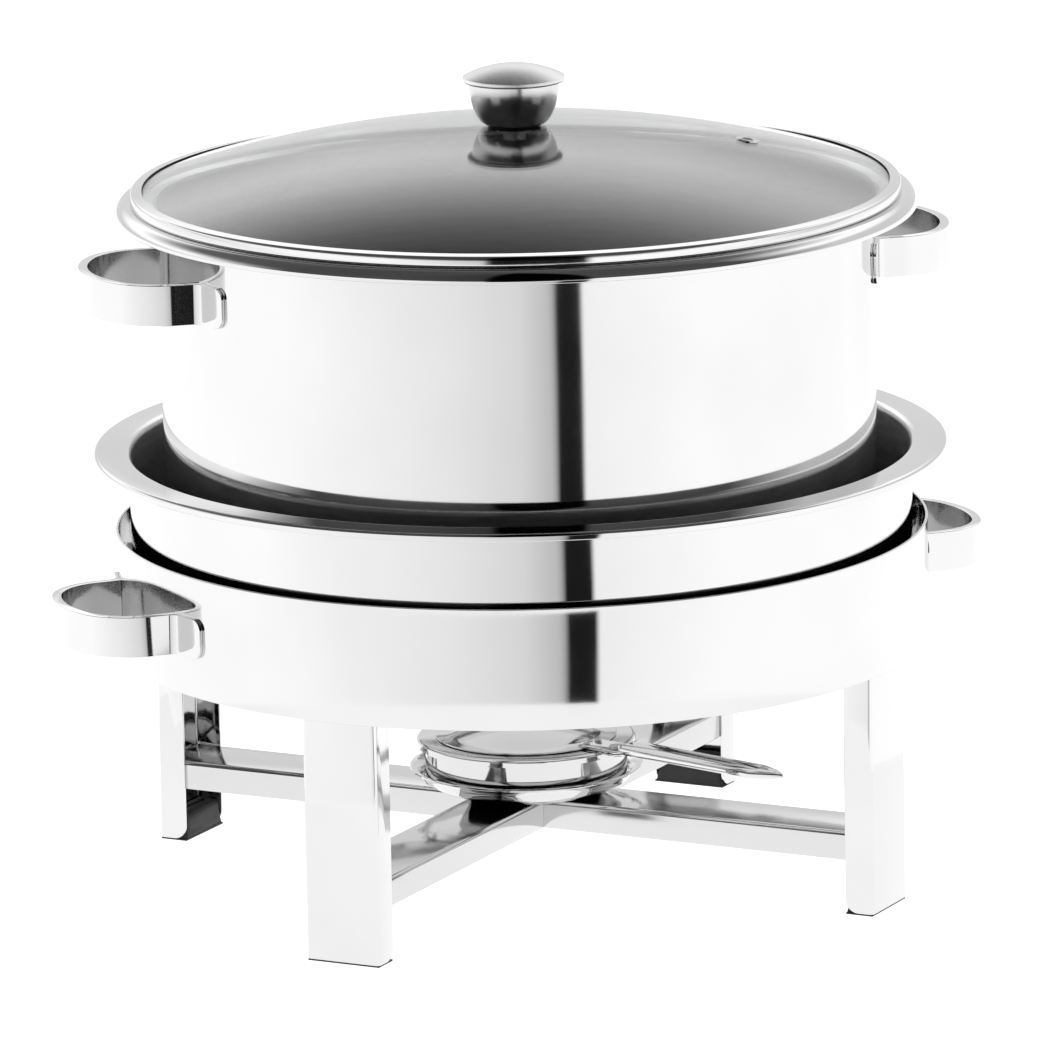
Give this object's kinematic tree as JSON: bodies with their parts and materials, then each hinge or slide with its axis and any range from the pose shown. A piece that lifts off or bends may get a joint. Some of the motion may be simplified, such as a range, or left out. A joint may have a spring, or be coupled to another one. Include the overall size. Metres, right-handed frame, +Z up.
{
  "type": "soup kettle",
  "caption": "Polished steel soup kettle: glass-lidded pot with loop handles in a water pan, on a ring stand with channel legs over a small burner.",
  "frame": {"origin": "on the table, under the middle of the stand's ring", "axes": "+Z up, +X through the middles of the stand's two handles"},
  "size_m": [0.4404, 0.383, 0.3701],
  "materials": {
    "polished_steel": "mirror-polished stainless sheet",
    "satin_steel": "satin steel",
    "mesh_steel": "perforated steel",
    "wick_fibre": "pressed fibre",
    "black_plastic": "moulded",
    "black_silicone": "smooth",
    "clear_glass": "clear tempered"
  },
  "bodies": {
    "stand": {"stand_ring": "polished_steel", "leg_front_right": "polished_steel", "leg_back_right": "polished_steel", "leg_back_left": "polished_steel", "leg_front_left": "polished_steel", "foot_front_right": "black_plastic", "foot_back_right": "black_plastic", "foot_back_left": "black_plastic", "foot_front_left": "black_plastic", "pan_rest_front_right": "satin_steel", "pan_rest_back_right": "satin_steel", "pan_rest_back_left": "satin_steel", "pan_rest_front_left": "satin_steel", "leg_welds": "satin_steel", "crossbar": "polished_steel", "half_bar_back": "polished_steel", "half_bar_front": "polished_steel", "ring_handle_right": "polished_steel", "ring_handle_left": "polished_steel", "burner_dish": "polished_steel", "dish_washer": "satin_steel", "dish_nut": "satin_steel"},
    "pan_body": {"water_pan": "polished_steel"},
    "pot_body": {"pot": "polished_steel", "pot_base": "polished_steel", "pot_handle_right": "polished_steel", "pot_handle_left": "polished_steel"},
    "lid_body": {"lid_glass": "clear_glass", "lid_band": "polished_steel", "lid_seal": "black_silicone", "vent_eyelet": "polished_steel", "knob_gasket": "black_silicone", "knob_cup": "polished_steel", "knob_core": "black_plastic", "knob_cap": "polished_steel", "knob_pad": "black_silicone", "knob_washer": "satin_steel", "knob_screw": "satin_steel"},
    "burner_body": {"burner_cup": "polished_steel", "burner_flange": "polished_steel", "burner_wick": "wick_fibre", "burner_mesh": "mesh_steel", "cover_pivot": "satin_steel"},
    "cover_body": {"burner_cover": "polished_steel", "cover_handle": "polished_steel", "cover_rivets": "satin_steel"}
  },
  "joints": [
    {"name": "pan_lift", "type": "slide", "parent": "stand", "child": "pan_body", "axis": [0, 0, 1], "range_m": [0, 0.06]},
    {"name": "pot_lift", "type": "slide", "parent": "pan_body", "child": "pot_body", "axis": [0, 0, 1], "range_m": [0, 0.1]},
    {"name": "lid_lift", "type": "slide", "parent": "pot_body", "child": "lid_body", "axis": [0, 0, 1], "range_m": [0, 0.08]},
    {"name": "burner_lift", "type": "slide", "parent": "stand", "child": "burner_body", "axis": [0, 0, 1], "range_m": [0, 0.04]},
    {"name": "cover_swing", "type": "hinge", "parent": "burner_body", "child": "cover_body", "pos_m": [0.02807, -0.04672, 0.0635], "axis": [0, 0, 1], "range_deg": [0, 100]}
  ]
}
